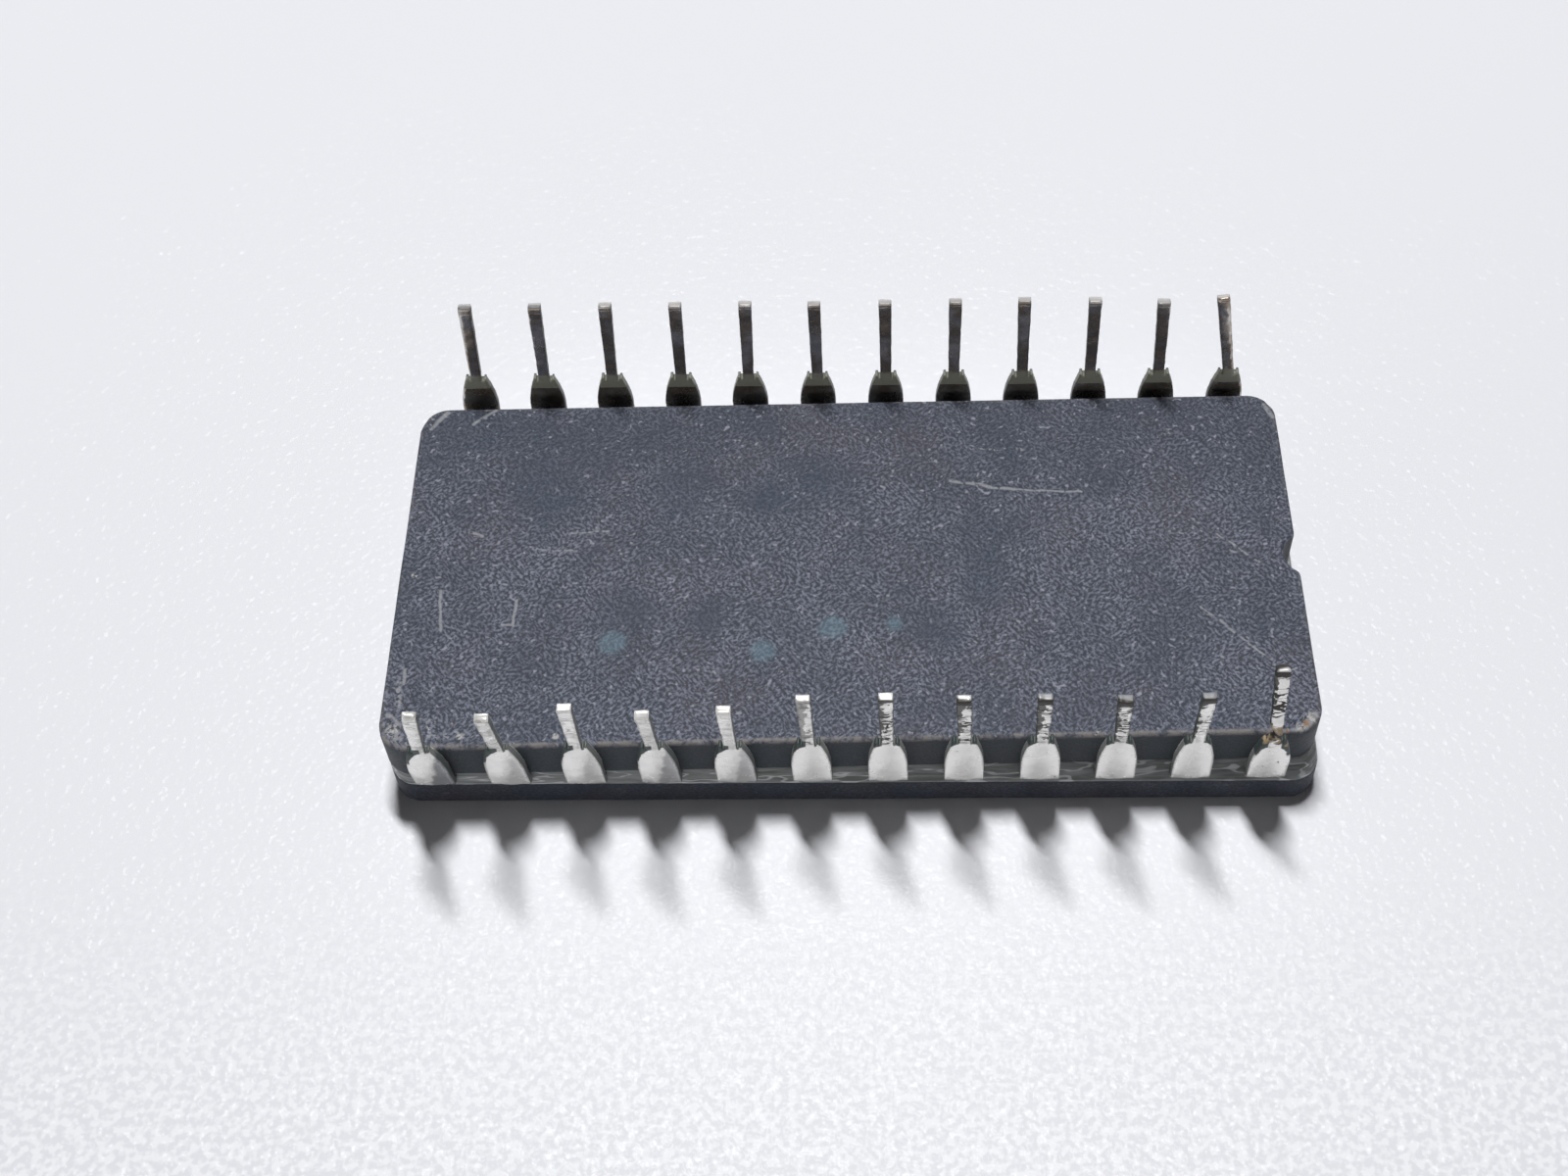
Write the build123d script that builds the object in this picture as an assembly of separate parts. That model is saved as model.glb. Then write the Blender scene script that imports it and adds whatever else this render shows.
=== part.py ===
from build123d import *
from math import radians, sin
import os

# A 24-lead ceramic dual in-line memory package, lying on its cap with its leads up.
# X runs along the package, Y across it, and Z up from the surface that the cap rests on.
# The origin is the middle of the lead pattern, on that surface.

# Lead pattern
pins_per_row = 12
lead_spacing = 2.54
row_spacing = 15.24

# Pressed ceramic, the same plan size for the base and the cap
end_margin = 1.83
row_margin = 0.52
corner_radius = 1.0
edge_radius = 0.12
base_thickness = 1.75
cap_thickness = 1.2
notch_radius = 0.78
notch_depth = 0.5

# Where the two ceramics settled in the furnace, next to the lead frame
base_shift_x = -0.03
base_shift_y = -0.11
base_turn = 0.66
cap_shift_x = 0.15
cap_shift_y = -0.5
cap_turn = -0.28

# Glass that seals them together
seal_thickness = 0.45
glass_bulge_width = 0.07

# Cavity in the base for the die, recess in the cap over the finger tips
cavity_clearance = 0.45
cavity_depth = 0.6
bond_land_width = 0.7
recess_depth = 0.4
pocket_radius = 0.5

# Lead strip
lead_thickness = 0.28
shank_width = 1.3
shoulder_width = 0.76
shoulder_taper = 1.35
shoulder_bulge_width = 0.05
standoff = 0.75
pin_neck_width = 0.37
pin_width = 0.45
pin_length = 3.55
bend_radius = 0.25
ear_width = 0.09
ear_height = 0.12

# Lead fingers inside the glass
finger_width = 1.0
finger_knee = 1.4
finger_tip_width = 0.38
tip_gap = 0.35

# Silicon die, its bond to the cavity floor, and its pads
die_length = 5.2
die_width = 3.4
die_thickness = 0.4
attach_margin = 0.15
attach_thickness = 0.05
pad_size = 0.13
pad_height = 0.01
pad_inset = 0.2

# Bond wires
wire_diameter = 0.032
wire_rise = 0.12
wire_loop = 0.2
wire_foot = 0.08
bond_inset = 0.3
wire_sides = 6
wire_crest_share = 0.4

# How each lead has been bent in use, in degrees, from lead 1 round to lead 24.
# Outward tilt of the wide shank, its sideways lean, further outward tilt of the pin, and its sideways tilt.
shank_tilts = (3.0, 2.0, 1.5, 1.0, 1.0, 1.5, 1.5, 3.5, 3.0, 2.5, 3.5, 5.0,
               0.5, 0.5, 0.5, 0.5, 0.5, 0.5, 0.5, 0.5, 0.5, 0.5, 0.5, 0.5)
shank_leans = (0.0, -0.5, 0.0, 0.5, 0.5, 0.5, 1.5, 2.0, 2.5, 2.0, 3.0, 3.5,
               1.5, 1.0, 0.5, 1.0, 0.0, 0.5, 0.5, 0.0, 0.0, -0.5, -0.5, 1.0)
pin_tilts = (-13.0, 5.0, 7.0, 6.5, 7.0, 4.5, 5.0, 7.5, 10.5, 7.0, 10.5, 6.5,
             8.5, 9.0, 9.0, 9.0, 9.5, 8.5, 9.5, 10.0, 10.5, 10.0, 8.0, 12.0)
side_tilts = (1.5, 0.5, 1.5, 0.5, 1.0, 0.0, -0.5, -2.0, -2.5, -3.0, -4.0, -9.0,
              -1.5, -1.0, 0.0, -1.0, 0.5, -1.0, -0.5, 0.5, 0.0, 1.0, 0.0, -8.5)

# The pin of lead 1 is eaten half through above its shoulder
eaten_lead = 1
eaten_radius = 0.35
eaten_depth = 0.15
eaten_height = 0.45

# Sizes and levels that follow from those above
body_length = (pins_per_row - 1) * lead_spacing + 2 * end_margin
body_width = row_spacing - 2 * row_margin
seal_low = cap_thickness
seal_high = seal_low + seal_thickness
body_top = seal_high + base_thickness
lead_low = seal_low + (seal_thickness - lead_thickness) / 2
lead_high = lead_low + lead_thickness
cavity_floor = seal_high + cavity_depth
die_back = cavity_floor - attach_thickness
die_face = die_back - die_thickness
pad_face = die_face - pad_height
lead_count = 2 * pins_per_row

# The cavity leaves the same clearance all round the bonded die
cavity_length = die_length + 2 * (attach_margin + cavity_clearance)
cavity_width = die_width + 2 * (attach_margin + cavity_clearance)

# Edge of the ring of finger tips, from the middle of the cavity
tip_reach_x = cavity_length / 2 + tip_gap
tip_reach_y = cavity_width / 2 + tip_gap

# The recess is open over the tips as far as the wires need
recess_length = 2 * (tip_reach_x + bond_land_width)
recess_width = 2 * (tip_reach_y + bond_land_width)

# Centre of the bend, in a frame where the row of leads lies towards +Y
bend_y = row_spacing / 2 - lead_thickness / 2 - bend_radius
bend_z = lead_high + bend_radius
shank_height = body_top + standoff - bend_z

# The foot of each shank goes this far down into its bend, so that one that leans still meets it
foot_lap = shank_width / 2 * sin(radians(max(abs(lean) for lean in shank_leans)))


def base_place():
    return Pos(base_shift_x, base_shift_y, 0) * Rot(0, 0, base_turn)


def cap_place():
    return Pos(cap_shift_x, cap_shift_y, 0) * Rot(0, 0, cap_turn)


def body_outline(grow=0.0):
    plate = RectangleRounded(body_length + 2 * grow, body_width + 2 * grow, corner_radius + grow)
    notch = Pos(body_length / 2 + notch_radius - notch_depth, 0) * Circle(notch_radius - grow)
    return plate - notch


def pressed_slab(thickness):
    slab = extrude(body_outline(), thickness)
    outer_face = slab.faces().sort_by(Axis.Z)[-1]
    return fillet(outer_face.edges(), edge_radius)


def pocket(length, width, depth):
    return extrude(RectangleRounded(length, width, pocket_radius), depth)


def ceramic_base():
    slab = Pos(0, 0, seal_high) * pressed_slab(base_thickness)
    cavity = Pos(0, 0, seal_high) * pocket(cavity_length, cavity_width, cavity_depth)
    return base_place() * slab - cavity


def ceramic_cap():
    slab = Pos(0, 0, cap_thickness) * Rot(180, 0, 0) * pressed_slab(cap_thickness)
    recess = Pos(0, 0, cap_thickness - recess_depth) * pocket(recess_length, recess_width, recess_depth)
    return cap_place() * slab - recess


def ring_point(reach_x, reach_y, place):
    # Places are counted from the middle of a row, and run round to the end of the ring
    step = (reach_x + reach_y) / (pins_per_row / 2)
    along = abs(place) * step
    side = 1 if place > 0 else -1
    if along < reach_x:
        return Vector(side * along, reach_y)
    return Vector(side * reach_x, reach_y - (along - reach_x))


def tapered_strip(start, start_width, end, end_width):
    run = (end - start).normalized()
    across = Vector(-run.Y, run.X)
    corners = [
        start + across * (start_width / 2),
        end + across * (end_width / 2),
        end - across * (end_width / 2),
        start - across * (start_width / 2),
    ]
    return make_face(Polyline(*corners, close=True))


def row_place(number):
    # Half-whole numbers, from the first lead of the row to its last
    return (number - 1) % pins_per_row - (pins_per_row - 1) / 2


def to_row(number, shape):
    # Leads 1 to 12 are the row towards -Y, and the rest the row towards +Y
    return Rot(0, 0, 180) * shape if number <= pins_per_row else shape


def finger(number):
    place = row_place(number)
    x = place * lead_spacing
    tip = ring_point(tip_reach_x, tip_reach_y, place)
    knee = Vector(x, bend_y - finger_knee)
    stub_run = Vector(x, bend_y) - knee
    stub = tapered_strip(knee, finger_width, knee + stub_run, shank_width)
    plan = stub + tapered_strip(knee, finger_width, tip, finger_tip_width)
    plan += Pos(knee) * Circle(finger_width / 2)
    return Pos(0, 0, lead_low) * extrude(plan, lead_thickness)


def shank_outline():
    half = shank_width / 2
    half_shoulder = shoulder_width / 2
    taper_start = shank_height - shoulder_taper
    middle_x = (half + half_shoulder) / 2 + shoulder_bulge_width
    middle_y = shank_height - shoulder_taper / 2
    left = ThreePointArc((-half, taper_start), (-middle_x, middle_y), (-half_shoulder, shank_height))
    right = ThreePointArc((half_shoulder, shank_height), (middle_x, middle_y), (half, taper_start))
    foot = Polyline((half, taper_start), (half, -foot_lap), (-half, -foot_lap), (-half, taper_start))
    outline = make_face([left, Line(left @ 1, right @ 0), right, foot])
    for side in (-1, 1):
        ear_x = side * (half_shoulder - ear_width / 2)
        outline += Pos(ear_x, shank_height) * Rectangle(ear_width, 2 * ear_height)
    return outline


def pin_outline(number):
    # Its root goes only as far into the shoulder as a tilted pin needs, so that it doesn't stand proud there
    half_neck = pin_neck_width / 2
    half_tip = pin_width / 2
    root = -lead_thickness / 2
    left = [(-half_neck, root), (-half_neck, 0), (-half_tip, pin_length)]
    right = [(half_tip, pin_length), (half_neck, 0), (half_neck, root)]
    blank = make_face(Polyline(*left, *right, close=True))
    if number == eaten_lead:
        bite = Pos(half_neck + eaten_radius - eaten_depth, eaten_height) * Circle(eaten_radius)
        blank -= bite
    return blank


def upright(plan):
    # A flat blank turned to stand in the lead row, half its thickness each side of Y = 0
    return extrude(Plane.XZ * plan, lead_thickness / 2, both=True)


def bent_lead(number):
    index = (number - 1) % len(shank_tilts)
    shank_tilt = shank_tilts[index]
    shank_lean = shank_leans[index]
    pin_tilt = pin_tilts[index]
    side_tilt = side_tilts[index]
    x = row_place(number) * lead_spacing
    turn = 90 - shank_tilt
    centreline = bend_radius + lead_thickness / 2

    bend_axis = Axis((x, bend_y, bend_z), (1, 0, 0))
    section = Pos(x, bend_y, bend_z - centreline) * Rot(90, 0, 0) * Rectangle(shank_width, lead_thickness)
    bend = revolve(section, bend_axis, turn)

    pivot = Pos(x, bend_y, bend_z) * Rot(-shank_tilt, 0, 0) * Pos(0, centreline, 0) * Rot(0, shank_lean, 0)
    shank = pivot * upright(shank_outline())
    neck = pivot * Pos(0, 0, shank_height) * Rot(-pin_tilt, side_tilt, 0)
    pin = neck * upright(pin_outline(number))
    return to_row(number, finger(number) + bend + shank + pin)


def seal_glass(leads):
    low = Pos(0, 0, seal_low) * cap_place() * body_outline()
    middle_shift = Pos(
        (base_shift_x + cap_shift_x) / 2, (base_shift_y + cap_shift_y) / 2, (seal_low + seal_high) / 2
    )
    middle = middle_shift * Rot(0, 0, (base_turn + cap_turn) / 2) * body_outline(glass_bulge_width)
    high = Pos(0, 0, seal_high) * base_place() * body_outline()
    glass = loft([low, middle, high], ruled=True)
    glass -= Pos(0, 0, seal_low) * pocket(recess_length, recess_width, lead_high - seal_low)
    glass -= Pos(0, 0, seal_low) * pocket(cavity_length, cavity_width, seal_thickness)
    for lead in leads:
        glass -= lead
    return glass


def die_attach():
    sheet = Rectangle(die_length + 2 * attach_margin, die_width + 2 * attach_margin)
    return Pos(0, 0, die_back) * extrude(sheet, attach_thickness)


def pad_point(number):
    return ring_point(die_length / 2 - pad_inset, die_width / 2 - pad_inset, row_place(number))


def silicon_die():
    die = Pos(0, 0, die_face) * extrude(Rectangle(die_length, die_width), die_thickness)
    for number in range(1, lead_count + 1):
        pad = Pos(pad_point(number)) * extrude(Rectangle(pad_size, pad_size), pad_height)
        die += to_row(number, Pos(0, 0, pad_face) * pad)
    return die


def bond_wire(number):
    place = row_place(number)
    pad = pad_point(number)
    tip = ring_point(tip_reach_x, tip_reach_y, place)
    knee = Vector(place * lead_spacing, bend_y - finger_knee)
    bond = tip + (knee - tip).normalized() * bond_inset
    crest = pad + (bond - pad) * wire_crest_share
    path = Polyline(
        (pad.X, pad.Y, pad_face),
        (pad.X, pad.Y, pad_face - wire_rise),
        (crest.X, crest.Y, lead_low - wire_loop),
        (bond.X, bond.Y, lead_low - wire_foot),
        (bond.X, bond.Y, lead_low),
    )
    start = Plane((pad.X, pad.Y, pad_face), z_dir=(0, 0, -1))
    section = start * RegularPolygon(wire_diameter / 2, wire_sides)
    return to_row(number, sweep(section, path, transition=Transition.RIGHT))


numbers = range(1, lead_count + 1)
leads = [bent_lead(number) for number in numbers]

nodes = {
    "ceramic_base": ceramic_base(),
    "ceramic_cap": ceramic_cap(),
    "seal_glass": seal_glass(leads),
    "silicon_die": silicon_die(),
    "die_attach": die_attach(),
}
for number, lead in zip(numbers, leads):
    nodes[f"lead_{number:02d}"] = lead
for number in numbers:
    nodes[f"bond_wire_{number:02d}"] = bond_wire(number)

os.makedirs("parts", exist_ok=True)
for name, shape in nodes.items():
    export_step(shape, f"parts/{name}.step")
print(f"{len(nodes)} pieces, body {body_length:.2f} x {body_width:.2f} x {body_top:.2f} mm")
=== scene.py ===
# %% [markdown]
# A ceramic memory package, lying on its cap with its leads in the air.
#
# The real thing is two slabs of pressed, dark alumina with a strip-metal lead frame between them, all
# fused together by glass. The slabs, the leads and the glass come from the CAD model, at their real size.
# What is left for Blender is what a hand and an eye would notice: the grain of the ceramic, its scratches
# and chipped corners, the ripples of the glass, and the tin that has gone dull and dark in places.
#
# The lesson runs from the frame and the camera, through a few shader groups, to one finish per material.

# %% Load the frame
import math
from functools import reduce
import bmesh
import bpy
from mathutils import Matrix, Vector
from mathutils import noise as mnoise


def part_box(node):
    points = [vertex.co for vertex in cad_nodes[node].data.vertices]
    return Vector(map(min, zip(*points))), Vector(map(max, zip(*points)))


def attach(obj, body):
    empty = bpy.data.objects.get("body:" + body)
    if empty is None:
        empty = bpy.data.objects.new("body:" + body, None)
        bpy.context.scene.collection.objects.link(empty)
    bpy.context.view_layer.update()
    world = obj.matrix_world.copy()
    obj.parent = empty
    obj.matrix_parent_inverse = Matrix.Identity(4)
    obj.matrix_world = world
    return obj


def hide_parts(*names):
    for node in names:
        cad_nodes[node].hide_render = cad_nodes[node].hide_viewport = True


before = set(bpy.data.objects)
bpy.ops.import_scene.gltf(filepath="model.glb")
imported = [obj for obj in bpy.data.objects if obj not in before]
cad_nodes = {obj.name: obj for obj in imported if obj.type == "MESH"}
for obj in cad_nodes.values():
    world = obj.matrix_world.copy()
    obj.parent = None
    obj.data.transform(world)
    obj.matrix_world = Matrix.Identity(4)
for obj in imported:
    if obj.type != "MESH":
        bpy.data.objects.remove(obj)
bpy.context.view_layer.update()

MM = 0.001
print("pieces in the frame:", len(cad_nodes))

# %% [markdown]
# Sizes that the pieces and finishes need, in millimetres.
#
# The heights are read off the frame, so they can't drift from it. The plan of the two pressed slabs is a
# rounded rectangle with a notch in one end. They aren't square to the lead frame: each slab settled with
# its own small shift and turn while the glass was soft, and that is kept.

# %% Sizes
base_low, base_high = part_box("ceramic_base")
cap_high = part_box("ceramic_cap")[1]
base_bottom = base_low.z / MM
base_top = base_high.z / MM
cap_top = cap_high.z / MM

SLAB_LENGTH = 31.6
SLAB_WIDTH = 14.2
CORNER = 1.0
NOTCH_RADIUS = 0.78
NOTCH_DEPTH = 0.5
PRESS_EDGE = 0.12
BASE_PLACE = (-0.03, -0.11, math.radians(0.66))
CAP_PLACE = (0.15, -0.5, math.radians(-0.28))
CAVITY = (6.4, 4.6, 0.6)
RECESS = (8.5, 6.7, 0.4)
POCKET_CORNER = 0.5
LEAD_SPACING = 2.54
LEADS_PER_ROW = 12
ROW_MIDDLE = 7.62
print(f"base from {base_bottom:.2f} to {base_top:.2f} mm, cap up to {cap_top:.2f} mm")

# %% [markdown]
# The camera stands in front of the package and looks down on it, as a phone does over a table.
#
# A camera is easiest to place from what it looks at: a target, an elevation, and a distance. The shift is
# the photograph's own framing: the lens points at the pixel `axis_pixel`, which lies above the middle.

# %% Camera
PICTURE_WIDTH, PICTURE_HEIGHT = 1600, 1200
camera_target = Vector((1.57, 11.91, 2.0)) * MM
camera_elevation = math.radians(50.39)
camera_azimuth = math.radians(-0.08)
camera_roll = math.radians(-0.46)
camera_distance = 88.29 * MM
focal_pixels = 2305
axis_pixel = (911, 330)

camera_data = bpy.data.cameras.new("camera")
camera = bpy.data.objects.new("camera", camera_data)
bpy.context.scene.collection.objects.link(camera)
bpy.context.scene.camera = camera
camera_data.sensor_width = 36
camera_data.lens = focal_pixels / PICTURE_WIDTH * camera_data.sensor_width
camera_data.shift_x = (PICTURE_WIDTH / 2 - axis_pixel[0]) / PICTURE_WIDTH
camera_data.shift_y = (axis_pixel[1] - PICTURE_HEIGHT / 2) / PICTURE_WIDTH
camera_data.clip_start = 1 * MM

backwards = Vector((
    math.sin(camera_azimuth) * math.cos(camera_elevation),
    -math.cos(camera_azimuth) * math.cos(camera_elevation),
    math.sin(camera_elevation),
))
camera.location = camera_target + backwards * camera_distance
look = (-backwards).to_track_quat("-Z", "Y").to_matrix()
roll = Matrix.Rotation(camera_roll, 3, "Z")
camera.rotation_euler = (look @ roll).to_euler()
print(f"lens {camera_data.lens:.1f} mm")

# %% [markdown]
# Light: one long soft lamp, high up behind the package, in a dim room.
#
# The lamp's place is read from the shadows. They fall towards the viewer, and the shadows of the high pins
# drift right while those of the low shanks don't, so the lamp is a long one that hangs aslant, with its low
# end on the left. Its energy is set so that a pale floor renders about as pale as its colour is written. The
# room gets its brightness further on, once there are helpers for nodes.

# %% Lamp and room
lamp_elevation = math.radians(71)
lamp_azimuth = math.radians(5)
lamp_slant = math.radians(-50)
lamp_distance = 0.6
lamp_length, lamp_width = 0.18, 0.05
lamp_energy = 3.42
lamp_data = bpy.data.lights.new("softbox", "AREA")
lamp_data.shape = "ELLIPSE"
lamp_data.size = lamp_length
lamp_data.size_y = lamp_width
lamp_data.energy = lamp_energy
lamp = bpy.data.objects.new("softbox", lamp_data)
bpy.context.scene.collection.objects.link(lamp)
towards_lamp = Vector((
    -math.sin(lamp_azimuth) * math.cos(lamp_elevation),
    math.cos(lamp_azimuth) * math.cos(lamp_elevation),
    math.sin(lamp_elevation),
))
lamp.location = towards_lamp * lamp_distance
aim = (-towards_lamp).to_track_quat("-Z", "Y").to_matrix()
lamp.rotation_euler = (aim @ Matrix.Rotation(lamp_slant, 3, "Z")).to_euler()

room = bpy.data.worlds.new("room")
bpy.context.scene.world = room
room.use_nodes = True
room_tree = room.node_tree
room_light = room_tree.nodes["Background"]
room_light.inputs["Color"].default_value = (1.0, 0.97, 0.95, 1)

bpy.context.scene.view_settings.view_transform = "Standard"
print(f"lamp {lamp_length * 100:.0f} by {lamp_width * 100:.0f} cm, {lamp_distance * 100:.0f} cm away")

# %% [markdown]
# Helpers for building node trees.
#
# A node tree is easier to read as a few calls than as dozens of clicks. `connect` takes either a socket or
# a plain value, so the same call works for a constant and for a pattern. `total`, `product` and `greatest`
# are chains of Math nodes, because one Math node takes only two values.

# %% Node helpers
def connect(tree, value, socket):
    if isinstance(value, bpy.types.NodeSocket):
        tree.links.new(value, socket)
    else:
        socket.default_value = value


def add_node(tree, kind, inputs=None, **settings):
    made = tree.nodes.new(kind)
    for name, value in settings.items():
        setattr(made, name, value)
    for name, value in (inputs or {}).items():
        connect(tree, value, made.inputs[name])
    return made


def maths(tree, operation, *values, clamp=False):
    made = add_node(tree, "ShaderNodeMath", dict(enumerate(values)), operation=operation)
    made.use_clamp = clamp
    return made.outputs[0]


def total(tree, *values):
    return reduce(lambda one, other: maths(tree, "ADD", one, other), values)


def product(tree, *values):
    return reduce(lambda one, other: maths(tree, "MULTIPLY", one, other), values)


def greatest(tree, *values):
    return reduce(lambda one, other: maths(tree, "MAXIMUM", one, other), values)


def vectors(tree, operation, *values):
    made = add_node(tree, "ShaderNodeVectorMath", dict(enumerate(values)), operation=operation)
    return made.outputs["Value"] if operation in {"LENGTH", "DISTANCE", "DOT_PRODUCT"} else made.outputs[0]


def smooth_step(tree, value, start, end, low=0.0, high=1.0):
    inputs = {"Value": value, "From Min": start, "From Max": end, "To Min": low, "To Max": high}
    return add_node(tree, "ShaderNodeMapRange", inputs, interpolation_type="SMOOTHSTEP").outputs["Result"]


def mix_colours(tree, factor, first, second):
    return add_node(tree, "ShaderNodeMix", {0: factor, 6: first, 7: second}, data_type="RGBA").outputs[2]


def noise(tree, vector, scale, detail=2.0, roughness=0.5):
    inputs = {"Vector": vector, "Scale": scale, "Detail": detail, "Roughness": roughness}
    return add_node(tree, "ShaderNodeTexNoise", inputs).outputs["Fac"]


def noise_step(tree, vector, texture, start, end, low=0.0, high=1.0):
    return smooth_step(tree, noise(tree, vector, *texture), start, end, low, high)


def millimetres(tree):
    place = add_node(tree, "ShaderNodeTexCoord").outputs["Object"]
    return vectors(tree, "MULTIPLY", place, (1 / MM, 1 / MM, 1 / MM))


def attribute(tree, name, output="Vector"):
    return add_node(tree, "ShaderNodeAttribute", attribute_name=name).outputs[output]


def separate(tree, vector):
    return add_node(tree, "ShaderNodeSeparateXYZ", {"Vector": vector}).outputs


def combine(tree, x, y, z=0.0):
    return add_node(tree, "ShaderNodeCombineXYZ", {"X": x, "Y": y, "Z": z}).outputs[0]


def add_bump(tree, height, strength, distance, socket):
    inputs = {"Height": height, "Strength": strength, "Distance": distance * MM}
    connect(tree, add_node(tree, "ShaderNodeBump", inputs).outputs["Normal"], socket)


def new_material(name):
    material = bpy.data.materials.new(name)
    material.use_nodes = True
    tree = material.node_tree
    return material, tree, tree.nodes["Principled BSDF"], millimetres(tree)


def count_nodes(name, tree):
    print(f"{name}: {len(tree.nodes)} nodes")


# %% [markdown]
# The room's brightness, which depends on the direction.
#
# Low down behind the viewer the room is bright, as a pale wall is: it lights the upright faces, which the
# lamp doesn't reach. More lamps could do that, but each would add shadows of its own. Overhead the room is
# nearly dark, as the deep shadows show. The camera doesn't see that light. What it sees past the table is a
# pale backdrop near the horizon, which mirrors and glass show as well.

# %% Room
WALL_STRENGTH = 2.45
OVERHEAD_STRENGTH = 0.012
BACKDROP_STRENGTH = 0.85
towards = separate(room_tree, add_node(room_tree, "ShaderNodeTexCoord").outputs["Generated"])
from_horizon = maths(room_tree, "ABSOLUTE", towards["Z"])
low_down = smooth_step(room_tree, from_horizon, 0.22, 0.08)
in_front = smooth_step(room_tree, towards["Y"], 0.2, -0.5)
strength = total(room_tree, product(room_tree, low_down, in_front, WALL_STRENGTH), OVERHEAD_STRENGTH)
ray = add_node(room_tree, "ShaderNodeLightPath").outputs
seen = greatest(room_tree, ray["Is Camera Ray"], ray["Is Glossy Ray"], ray["Is Transmission Ray"])
backdrop = smooth_step(room_tree, from_horizon, 0.7, 0.5, 0.0, BACKDROP_STRENGTH)
lighting = product(room_tree, strength, maths(room_tree, "SUBTRACT", 1.0, ray["Is Camera Ray"]))
strength = total(room_tree, lighting, product(room_tree, seen, backdrop))
connect(room_tree, strength, room_light.inputs["Strength"])
print(f"room from {OVERHEAD_STRENGTH} overhead to {WALL_STRENGTH} at the wall")

# %% [markdown]
# Shader groups: effects that more than one finish uses.
#
# A group is a small machine with named inputs. It is built once and placed in each material with its own
# values. Every group here puts out a mask from 0 to 1, or a distance, and leaves the shader to the material.

# %% Helpers for groups
FLOAT = "NodeSocketFloat"
VECTOR = "NodeSocketVector"


def new_group(name, inputs, output):
    group = bpy.data.node_groups.new(name, "ShaderNodeTree")
    for socket_name, (kind, value) in inputs.items():
        socket = group.interface.new_socket(socket_name, in_out="INPUT", socket_type=kind)
        socket.default_value = value
    group.interface.new_socket(output, in_out="OUTPUT", socket_type=FLOAT)
    entry = group.nodes.new("NodeGroupInput")
    leave = group.nodes.new("NodeGroupOutput")
    return group, entry.outputs, leave.inputs[0]


def use_group(tree, group, **inputs):
    made = add_node(tree, "ShaderNodeGroup", node_tree=group)
    for name, value in inputs.items():
        connect(tree, value, made.inputs[name.replace("_", " ").title()])
    return made.outputs[0]


# %% Group: pale flecks
# Grains a little longer than wide. They lie one way in some patches and another way in the rest
flecks, given, result = new_group("pale flecks", {
    "Vector": (VECTOR, (0, 0, 0)),
    "Length": (FLOAT, 0.3),
    "Width": (FLOAT, 0.2),
    "Level": (FLOAT, 0.5),
}, "Mask")
per_length = maths(flecks, "DIVIDE", 1.0, given["Length"])
per_width = maths(flecks, "DIVIDE", 1.0, given["Width"])
stretch = combine(flecks, per_length, per_width, per_width)


def grains_at(turn):
    inputs = {"Vector": given["Vector"], "Angle": math.radians(turn)}
    turned = add_node(flecks, "ShaderNodeVectorRotate", inputs).outputs[0]
    return noise(flecks, vectors(flecks, "MULTIPLY", turned, stretch), 1.0, 1.5, 0.65)


patch = smooth_step(flecks, noise(flecks, given["Vector"], 0.9, 2.0), 0.44, 0.56)
one_way = product(flecks, grains_at(50), patch)
other_way = product(flecks, grains_at(-35), maths(flecks, "SUBTRACT", 1.0, patch))
fleck_start = maths(flecks, "SUBTRACT", given["Level"], 0.07)
fleck_end = maths(flecks, "ADD", given["Level"], 0.17)
grains = total(flecks, one_way, other_way)
connect(flecks, smooth_step(flecks, grains, fleck_start, fleck_end), result)
count_nodes("pale flecks", flecks)

# %% Group: line scratch
# The distance to a line from Start to End, after the place has been shaken a little, so that the line wanders
scratch, given, result = new_group("line scratch", {
    "Vector": (VECTOR, (0, 0, 0)),
    "Start": (VECTOR, (0, 0, 0)),
    "End": (VECTOR, (1, 0, 0)),
    "Width": (FLOAT, 0.06),
    "Breaks": (FLOAT, 0.4),
}, "Mask")
wander = add_node(scratch, "ShaderNodeTexNoise", {"Vector": given["Vector"], "Scale": 0.8, "Detail": 2.0})
wander = vectors(scratch, "SUBTRACT", wander.outputs["Color"], (0.5, 0.5, 0.5))
wander = vectors(scratch, "MULTIPLY", wander, (0.35, 0.35, 0))
point = vectors(scratch, "MULTIPLY", given["Vector"], (1, 1, 0))
point = vectors(scratch, "ADD", point, wander)
along = vectors(scratch, "SUBTRACT", given["End"], given["Start"])
from_start = vectors(scratch, "SUBTRACT", point, given["Start"])
share = maths(
    scratch, "DIVIDE",
    vectors(scratch, "DOT_PRODUCT", from_start, along),
    vectors(scratch, "DOT_PRODUCT", along, along),
    clamp=True,
)
nearest = add_node(scratch, "ShaderNodeVectorMath", {0: along, "Scale": share}, operation="SCALE").outputs[0]
distance = vectors(scratch, "DISTANCE", from_start, nearest)
inner = maths(scratch, "MULTIPLY", given["Width"], 0.3)
line = smooth_step(scratch, distance, given["Width"], inner)
broken = noise(scratch, given["Vector"], 5.0, 2.0)
broken = smooth_step(scratch, broken, given["Breaks"], maths(scratch, "ADD", given["Breaks"], 0.12))
connect(scratch, product(scratch, line, broken), result)
count_nodes("line scratch", scratch)

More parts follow.
